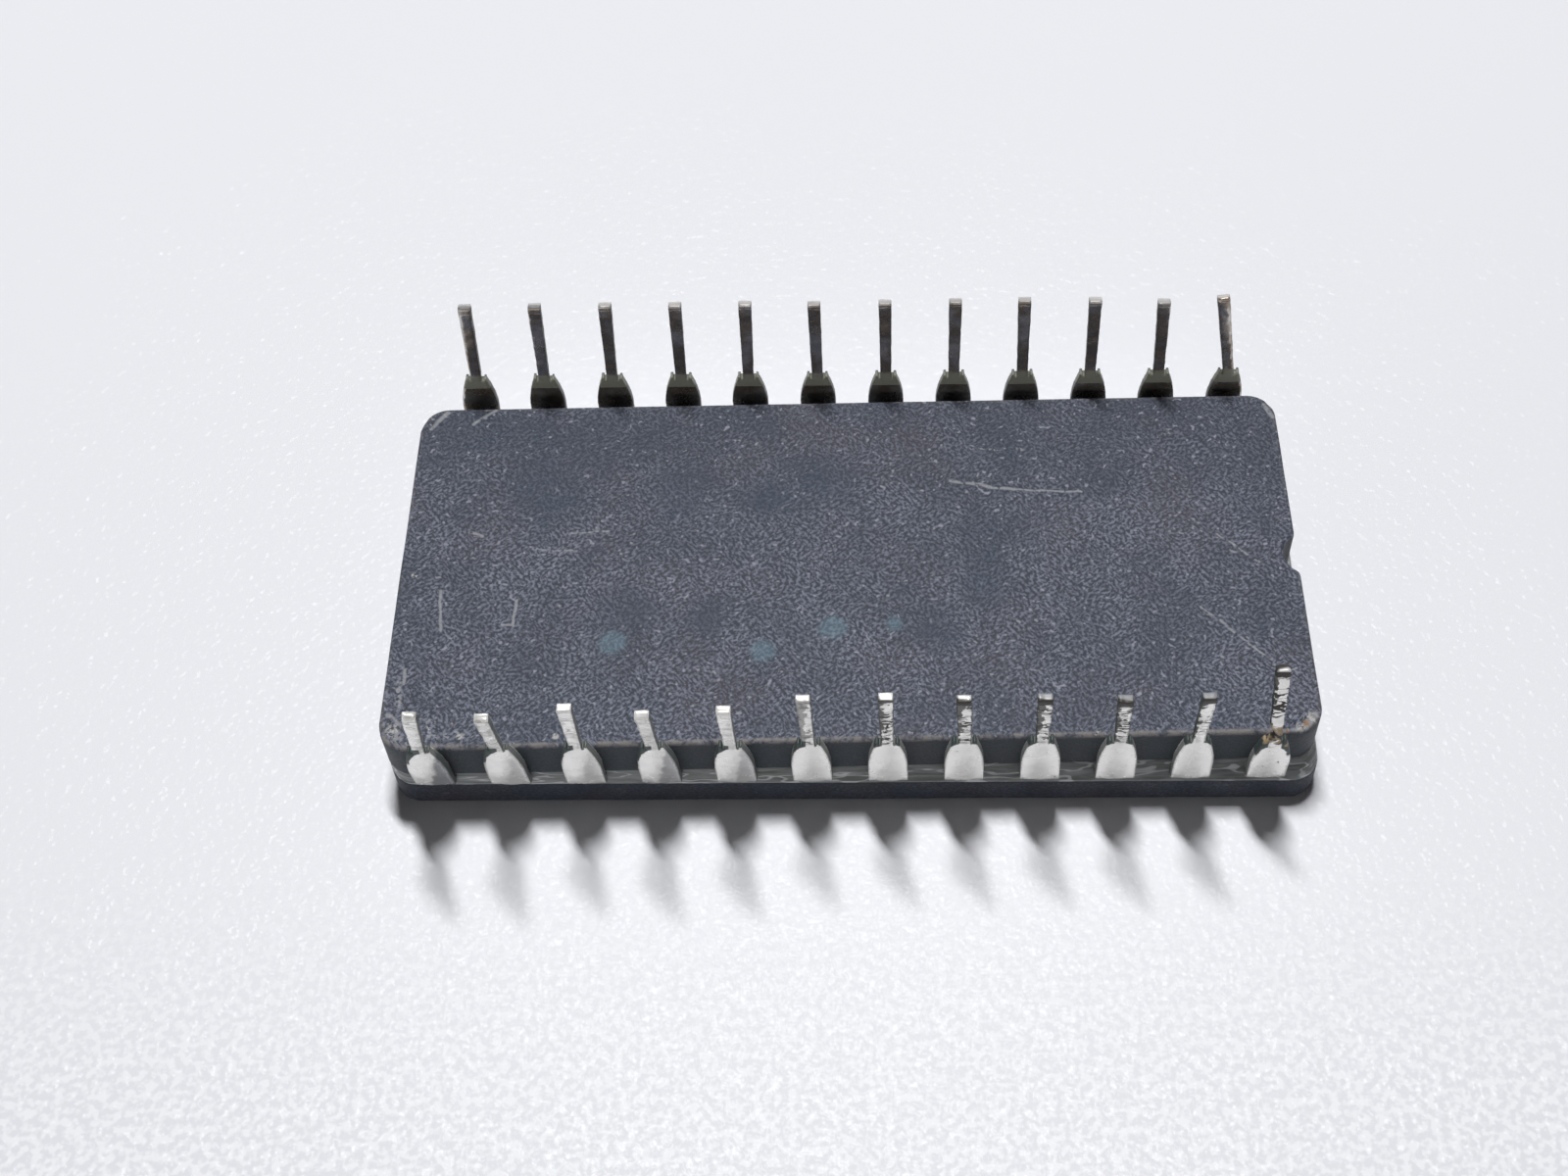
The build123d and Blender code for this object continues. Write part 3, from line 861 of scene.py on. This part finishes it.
def pocket_outline(length, width):
    corner_x, corner_y = length / 2 - POCKET_CORNER, width / 2 - POCKET_CORNER
    points = []
    for index, (side_x, side_y) in enumerate(((1, 1), (-1, 1), (-1, -1), (1, -1))):
        middle = (side_x * corner_x, side_y * corner_y)
        points += arc(middle, POCKET_CORNER, 90 * index, 90 * index + 90, 8)
        points.append((
            middle[0] + POCKET_CORNER * math.cos(math.radians(90 * index + 90)),
            middle[1] + POCKET_CORNER * math.sin(math.radians(90 * index + 90)),
        ))
    return points


def add_ring(mesh, points):
    return [mesh.verts.new(Vector(point) * MM) for point in points]


def stitch(mesh, one, other):
    for index in range(len(one)):
        following = (index + 1) % len(one)
        mesh.faces.new((one[index], one[following], other[following], other[index]))


def ring_edges(mesh, ring):
    made = []
    for index, vertex in enumerate(ring):
        ends = (vertex, ring[(index + 1) % len(ring)])
        made.append(mesh.edges.get(ends) or mesh.edges.new(ends))
    return made


def fill(mesh, *rings):
    edges = [edge for ring in rings for edge in ring_edges(mesh, ring)]
    bmesh.ops.triangle_fill(mesh, use_beauty=True, use_dissolve=False, edges=edges)


def finish_piece(mesh, name, material, slot, *nodes):
    bmesh.ops.recalc_face_normals(mesh, faces=mesh.faces)
    data = bpy.data.meshes.new(name)
    mesh.to_mesh(data)
    mesh.free()
    data.materials.append(material)
    data.shade_smooth()
    piece = bpy.data.objects.new(name, data)
    bpy.context.scene.collection.objects.link(piece)
    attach(piece, "root")
    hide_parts(*nodes)
    print(f"{name}: {len(data.polygons)} faces")


# %% [markdown]
# The two ceramic slabs.
#
# Going round a slab's edge from the seal to the outer face, each ring has an inset and a height. The seal
# edge is nearly sharp and the outer edge has the press tool's small radius. Ceramic doesn't dent, it
# chips, so after the rings are placed their points are pushed in where a chip has come off.

# %% Slab rings
SEAL_EDGE = 0.04
WALL_WAVE = 0.012
chip_places = (
    ((14.55, -7.02, 3.4), 0.34, 0.09), ((14.95, -7.0, 3.4), 0.4, 0.12), ((15.45, -6.62, 3.4), 0.36, 0.1),
    ((-15.55, -6.6, 3.4), 0.32, 0.07), ((-15.15, -7.15, 3.4), 0.3, 0.06), ((-15.45, -5.3, 3.4), 0.3, 0.05),
    ((-15.6, 6.1, 3.4), 0.34, 0.08), ((15.45, 6.7, 3.4), 0.2, 0.03), ((-6.3, -7.35, 3.4), 0.22, 0.03),
    ((5.4, -7.2, 3.4), 0.25, 0.03), ((9.8, -7.15, 3.4), 0.18, 0.03), ((-11.2, 7.05, 3.4), 0.25, 0.04),
)


def slab_profile(thickness):
    profile = [(0.6, 0), (0.25, 0), (SEAL_EDGE, 0)]
    profile += [(0.012, 0.012), (0, SEAL_EDGE)]
    wall = thickness - PRESS_EDGE - SEAL_EDGE
    profile += [(0, SEAL_EDGE + wall * share) for share in (0.12, 0.3, 0.5, 0.7, 0.85, 0.95)]
    for angle in range(0, 91, 15):
        round_off = PRESS_EDGE * (1 - math.cos(math.radians(angle)))
        profile.append((round_off, thickness - PRESS_EDGE * (1 - math.sin(math.radians(angle)))))
    profile += [(0.17, thickness), (0.24, thickness), (0.36, thickness), (0.6, thickness)]
    return profile


def chipped(point, inward):
    moved = Vector(point)
    rough = mnoise.noise(moved * 1.7) * 0.5 + mnoise.noise(moved * 6.0)
    for middle, radius, depth in chip_places:
        gap = (moved - Vector(middle)).length * (1 + 0.35 * rough)
        if gap < radius:
            push = depth * min(1, 2.2 * (1 - gap / radius)) * (0.8 + 0.5 * rough)
            moved += (inward * 0.7 + Vector((0, 0, -0.8))) * push
    return moved


def pressed_slab(name, place, seal_height, thickness, up, pocket, material):
    mesh = bmesh.new()
    rings = []
    outer = slab_outline(0)
    for inset, rise in slab_profile(thickness):
        height = seal_height + up * rise
        points = []
        for point, edge in zip(slab_outline(inset), outer):
            x, y = placed(point, place)
            wave = WALL_WAVE * mnoise.noise(Vector((x * 0.6, y * 0.6, height * 0.8)))
            along = Vector((x, y, 0)).normalized()
            corner = Vector((x, y, height)) + along * wave * (1 if rise > 0 else 0)
            if up > 0:
                corner = chipped(corner, -along)
            points.append(corner)
        rings.append(add_ring(mesh, points))
    for one, other in zip(rings, rings[1:]):
        stitch(mesh, one, other)
    fill(mesh, rings[-1])
    length, width, depth = pocket
    mouth = add_ring(mesh, [(*point, seal_height) for point in pocket_outline(length, width)])
    floor = add_ring(mesh, [(*point, seal_height + up * depth) for point in pocket_outline(length, width)])
    stitch(mesh, mouth, floor)
    fill(mesh, floor)
    fill(mesh, rings[0], mouth)
    finish_piece(mesh, name, material, "ceramic", name.replace("worn", "ceramic"))


pressed_slab("worn_base", BASE_PLACE, base_bottom, base_top - base_bottom, 1, CAVITY, base_material)
pressed_slab("worn_cap", CAP_PLACE, cap_top, cap_top, -1, RECESS, cap_material)

# %% [markdown]
# The sealing glass.
#
# In the furnace the glass ran out to the edges of both slabs, so its wall goes from the cap's outline to the
# base's. It isn't flat: it sags between the two edges, swells where more was squeezed out, and ripples along
# its length. A bump in the shader would leave the outline straight, so the rings carry the form themselves.
# Each point is pushed out by a slow, a middling and a fine noise, most halfway up and not at all at the two
# edges, where the glass holds on to the ceramic.

# %% Glass rings
GLASS_RINGS = 14
SAG = 0.0105
SWELL = 0.05
STREAK = 0.03
RIPPLE = 0.008


def glass_bulge(point, share):
    x, y, _ = point
    hump = math.sin(math.pi * share)
    slow = mnoise.noise(Vector((x * 0.35, y * 0.35, 4.0)))
    streak = mnoise.noise(Vector((x * 1.3, y * 1.3, share * 5.0)))
    fine = mnoise.noise(Vector((x * 4.0, y * 4.0, share * 9.0 + 7.0)))
    return hump * (SWELL * slow + STREAK * streak + RIPPLE * fine - SAG)


def flowed_glass():
    mesh = bmesh.new()
    low = [placed(point, CAP_PLACE) for point in slab_outline(0.015)]
    high = [placed(point, BASE_PLACE) for point in slab_outline(0.015)]
    rings = []
    for index in range(GLASS_RINGS):
        share = index / (GLASS_RINGS - 1)
        height = cap_top + (base_bottom - cap_top) * share
        points = []
        for one, other in zip(low, high):
            x = one[0] + (other[0] - one[0]) * share
            y = one[1] + (other[1] - one[1]) * share
            outward = Vector((x, y, 0)).normalized()
            points.append(Vector((x, y, height)) + outward * glass_bulge((x, y, height), share))
        rings.append(add_ring(mesh, points))
    for one, other in zip(rings, rings[1:]):
        stitch(mesh, one, other)
    length, width, _ = CAVITY
    inner_low = add_ring(mesh, [(*point, cap_top) for point in pocket_outline(length, width)])
    inner_high = add_ring(mesh, [(*point, base_bottom) for point in pocket_outline(length, width)])
    stitch(mesh, inner_low, inner_high)
    fill(mesh, rings[0], inner_low)
    fill(mesh, rings[-1], inner_high)
    finish_piece(mesh, "flowed_glass", glass_material, "seal_glass", "seal_glass")


flowed_glass()

# %% [markdown]
# The tin skin on the leads.
#
# The bare leads are flat strip with square edges, as the CAD model has them. Dipping rounded every edge and
# left the tin thicker in the middle of each wide shank. So each lead is copied, its copy is turned into an
# even skin of small faces, and Geometry Nodes then move that skin outwards: a crown on the shank, a ripple
# over everything, and lumps on the worn pins. The same tree serves all twenty-four leads, and only its
# inputs differ. It also stores the places and looks that the tin material reads.

# %% Tin skin: inputs, and what the material reads
tin_skin = bpy.data.node_groups.new("tin skin", "GeometryNodeTree")
tin_skin.interface.new_socket("Geometry", in_out="INPUT", socket_type="NodeSocketGeometry")
skin_inputs = {}
input_kinds = {
    "Middle": VECTOR, "Crown Size": VECTOR, "Crown Height": FLOAT, "Outward": VECTOR, "Thickness": FLOAT,
    "Lean": FLOAT, "Foot": FLOAT, "Top": FLOAT, "Looks": VECTOR, "Rust": FLOAT,
    "Ripple Height": FLOAT, "Ripple Scale": FLOAT, "Seed": FLOAT, "Lump Height": FLOAT, "Lump Scale": FLOAT,
    "Material": "NodeSocketMaterial",
}
for name, kind in input_kinds.items():
    skin_inputs[name] = tin_skin.interface.new_socket(name, in_out="INPUT", socket_type=kind).identifier
tin_skin.interface.new_socket("Geometry", in_out="OUTPUT", socket_type="NodeSocketGeometry")
print("inputs of the tin skin:", ", ".join(skin_inputs))

given = tin_skin.nodes.new("NodeGroupInput").outputs
position = tin_skin.nodes.new("GeometryNodeInputPosition").outputs[0]
normal = tin_skin.nodes.new("GeometryNodeInputNormal").outputs[0]
axes = separate(tin_skin, position)
above_foot = maths(tin_skin, "SUBTRACT", axes["Z"], given["Foot"])
sideways = maths(tin_skin, "SUBTRACT", axes["X"], separate(tin_skin, given["Middle"])["X"])
sideways = maths(tin_skin, "SUBTRACT", sideways, product(tin_skin, given["Lean"], above_foot))
from_tip = maths(tin_skin, "SUBTRACT", given["Top"], axes["Z"])
own = combine(tin_skin, sideways, axes["Z"], from_tip)
own = vectors(tin_skin, "MULTIPLY", own, (1 / MM, 1 / MM, 1 / MM))
geometry = given["Geometry"]
for name, kind, value in (
    ("own place", "FLOAT_VECTOR", own),
    ("looks", "FLOAT_VECTOR", given["Looks"]),
    ("rust", "FLOAT", given["Rust"]),
):
    geometry = add_node(tin_skin, "GeometryNodeStoreNamedAttribute", {
        "Geometry": geometry, "Name": name, "Value": value,
    }, data_type=kind).outputs[0]

# %% Tin skin: crown, ripple and lumps
LUMPS_FROM, LUMPS_FULL = 4.2, 4.5


def unevenness(height, scale, detail):
    # The noise has a fourth dimension, along which each lead's seed gives it a pattern of its own
    inputs = {"Vector": position, "W": given["Seed"], "Scale": given[scale], "Detail": detail}
    pattern = add_node(tin_skin, "ShaderNodeTexNoise", inputs, noise_dimensions="4D").outputs["Fac"]
    return product(tin_skin, maths(tin_skin, "SUBTRACT", pattern, 0.5), given[height])


from_middle = vectors(tin_skin, "SUBTRACT", position, given["Middle"])
away = vectors(tin_skin, "DIVIDE", from_middle, given["Crown Size"])
reach = vectors(tin_skin, "DOT_PRODUCT", away, away)
crown = maths(tin_skin, "MAXIMUM", maths(tin_skin, "SUBTRACT", 1.0, reach), 0.0)
outer_face = maths(tin_skin, "MAXIMUM", vectors(tin_skin, "DOT_PRODUCT", normal, given["Outward"]), 0.0)
crown = product(tin_skin, crown, given["Crown Height"], outer_face)
ripples = unevenness("Ripple Height", "Ripple Scale", 2.0)
wear = separate(tin_skin, given["Looks"])["Z"]
up_the_pin = smooth_step(tin_skin, axes["Z"], LUMPS_FROM * MM, LUMPS_FULL * MM)
lumps = product(tin_skin, unevenness("Lump Height", "Lump Scale", 1.0), wear, up_the_pin)
rise = total(tin_skin, crown, total(tin_skin, ripples, lumps), given["Thickness"])
offset = add_node(tin_skin, "ShaderNodeVectorMath", {0: normal, "Scale": rise}, operation="SCALE").outputs[0]
moved = add_node(tin_skin, "GeometryNodeSetPosition", {"Geometry": geometry, "Offset": offset}).outputs[0]
realized = add_node(tin_skin, "GeometryNodeRealizeInstances", {"Geometry": moved}).outputs[0]
inputs = {"Geometry": realized, "Material": given["Material"]}
dipped = add_node(tin_skin, "GeometryNodeSetMaterial", inputs).outputs[0]
connect(tin_skin, dipped, tin_skin.nodes.new("NodeGroupOutput").inputs[0])
count_nodes("tin skin", tin_skin)

# %% [markdown]
# Dipping each lead.
#
# The start is the lead's own CAD mesh, so the skin can't leave it. Remesh turns it into small even faces,
# because long thin ones can't be rippled, Smooth rounds its edges, and the tin skin comes last. The tables
# hold what differs from lead to lead: how far its shank leans, its painted shade, and how it has aged.

# %% Dip the leads
# How far each shank leans along the row, in degrees
leans = (
    0.0, -0.5, 0.0, 0.5, 0.5, 0.5, 1.5, 2.0, 2.5, 2.0, 3.0, 3.5,
    1.5, 1.0, 0.5, 1.0, 0.0, 0.5, 0.5, 0.0, 0.0, -0.5, -0.5, 1.0,
)
# Painted shade on the right half, dull tip, wear of the pin
lead_looks = {
    1: (0.0, 0.5, 1.0), 2: (0.0, 0.9, 0.85), 3: (0.0, 0.9, 1.0), 4: (0.0, 0.85, 1.0), 5: (0.1, 0.4, 0.9),
    6: (0.0, 0.1, 0.8), 7: (0.0, 0.3, 0.65), 8: (0.5, 0.2, 0.35), 9: (0.65, 0.0, 0.5), 10: (0.3, 0.0, 0.4),
    11: (0.35, 0.0, 0.5), 12: (0.8, 0.0, 0.45), 13: (0.0, 0.9, 0.3), 14: (0.0, 0.9, 0.3),
}
PLAIN_LOOKS = (0.0, 0.3, 0.25)
RUSTED_LEAD = 1
FOOT_HEIGHT = 1.82
TIN_THICKNESS = 0.012
CROWN_MIDDLE = 2.75
CROWN_SIZE = (0.66, 3.0, 1.5)
CROWN_HEIGHT = 0.07
RIPPLE_HEIGHT, RIPPLE_SCALE = 0.035, 1100.0
LUMP_HEIGHT, LUMP_SCALE = 0.14, 2600.0
REMESH_DEPTH = 7


def lead_middle(number):
    # Leads 1 to 12 are the front row, from the right; 13 to 24 the back row, from the left
    place = (number - 1) % LEADS_PER_ROW - (LEADS_PER_ROW - 1) / 2
    side = -1 if number <= LEADS_PER_ROW else 1
    return side * place * LEAD_SPACING, side * ROW_MIDDLE


def dipped_lead(number):
    node = f"lead_{number:02d}"
    bare = bmesh.new()
    bare.from_mesh(cad_nodes[node].data)
    bmesh.ops.remove_doubles(bare, verts=bare.verts, dist=0.0005 * MM)
    data = bpy.data.meshes.new("bare lead")
    bare.to_mesh(data)
    bare.free()
    piece = bpy.data.objects.new("bare lead", data)
    bpy.context.scene.collection.objects.link(piece)
    skin = piece.modifiers.new("even faces", "REMESH")
    skin.mode = "SHARP"
    skin.octree_depth = REMESH_DEPTH
    skin.scale = 0.95
    relax = piece.modifiers.new("round edges", "SMOOTH")
    relax.factor = 0.5
    relax.iterations = 2
    dip = piece.modifiers.new("tin skin", "NODES")
    dip.node_group = tin_skin
    x, y = lead_middle(number)
    values = {
        "Middle": Vector((x, y, CROWN_MIDDLE)) * MM, "Crown Size": Vector(CROWN_SIZE) * MM,
        "Crown Height": CROWN_HEIGHT * MM, "Ripple Height": RIPPLE_HEIGHT * MM, "Ripple Scale": RIPPLE_SCALE,
        "Lump Height": LUMP_HEIGHT * MM, "Lump Scale": LUMP_SCALE,
        "Outward": Vector((0, math.copysign(1, y), 0)), "Thickness": TIN_THICKNESS * MM,
        "Seed": float(number), "Material": tin_material,
        "Lean": -math.copysign(math.tan(math.radians(leans[number - 1])), y), "Foot": FOOT_HEIGHT * MM,
        "Top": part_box(node)[1].z, "Looks": Vector(lead_looks.get(number, PLAIN_LOOKS)),
        "Rust": float(number == RUSTED_LEAD),
    }
    for name, value in values.items():
        dip[skin_inputs[name]] = value
    graph = bpy.context.evaluated_depsgraph_get()
    result = bpy.data.meshes.new_from_object(piece.evaluated_get(graph))
    bpy.data.objects.remove(piece)
    result.name = f"dipped_{node}"
    result.shade_smooth()
    lead = bpy.data.objects.new(f"dipped_{node}", result)
    bpy.context.scene.collection.objects.link(lead)
    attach(lead, "root")
    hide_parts(node)
    return lead


leads = [dipped_lead(number) for number in range(1, 2 * LEADS_PER_ROW + 1)]
print(f"{len(leads)} leads, {sum(len(lead.data.polygons) for lead in leads)} faces")

# %% [markdown]
# The CAD pieces that are drawn as they are.
#
# The ceramics, the glass and the leads are replaced, so their CAD meshes are hidden. The pieces inside keep
# theirs, and each gets the material of its kind in place of the plain one that it came with.

# %% Finish the inner pieces
finishes = {"silicon_die": silicon_material, "die_attach": bond_material, "bond_wire": wire_material}
for start, finish in finishes.items():
    pieces = [piece for name, piece in cad_nodes.items() if name.startswith(start)]
    for piece in pieces:
        piece.data.materials.clear()
        piece.data.materials.append(finish)
    print(f"{start}: {len(pieces)}")

# %% [markdown]
# The table: a pale, smooth, slightly blue-white top. It isn't part of the object, and it keeps the shadows.
#
# A worktop is matt paint under a thin clear coat, and the shader has both layers. A plain white plane would
# keep the shadows too, but the coat's fine pebbles spread the lamp's reflection as satin does.

# %% Table
TABLE_HALF = 0.6
table_mesh = bpy.data.meshes.new("table")
corners = [(x * TABLE_HALF, y * TABLE_HALF, 0) for x, y in ((-1, -1), (1, -1), (1, 1), (-1, 1))]
table_mesh.from_pydata(corners, [], [(0, 1, 2, 3)])
table = bpy.data.objects.new("table", table_mesh)
bpy.context.scene.collection.objects.link(table)
print(f"table {2 * TABLE_HALF:.1f} m wide")

# %% Table top
PAINT_BLUE, PAINT_PALE = (0.82, 0.835, 0.88, 1), (0.86, 0.87, 0.91, 1)
# Dark grain, and pale painted glints
GRAIN_DARK, GLINT_PALE = (0.74, 0.755, 0.8, 1), (0.95, 0.96, 1.0, 1)
table_material, tree, shader, place = new_material("table top")
colour = mix_colours(tree, noise(tree, place, 0.02, 1.0), PAINT_BLUE, PAINT_PALE)
# In front of the object a fine grain is painted in, and its pale specks are painted glints of the lamp in the
# satin
grain = noise_step(tree, place, (3.6, 1.0, 0.5), 0.4, 0.62)
grain = mix_colours(tree, grain, GRAIN_DARK, GLINT_PALE)
near_side = smooth_step(tree, separate(tree, place)["Y"], -8.0, -20.0, 0.0, 0.6)
connect(tree, mix_colours(tree, near_side, colour, grain), shader.inputs["Base Color"])
shader.inputs["Roughness"].default_value = 0.5
shader.inputs["Specular IOR Level"].default_value = 0.3
shader.inputs["Coat Weight"].default_value = 0.07
shader.inputs["Coat Roughness"].default_value = 0.22
add_bump(tree, noise(tree, place, 3.0, 1.0, 0.5), 0.8, 0.12, shader.inputs["Coat Normal"])
table_mesh.materials.append(table_material)
count_nodes("table top", tree)
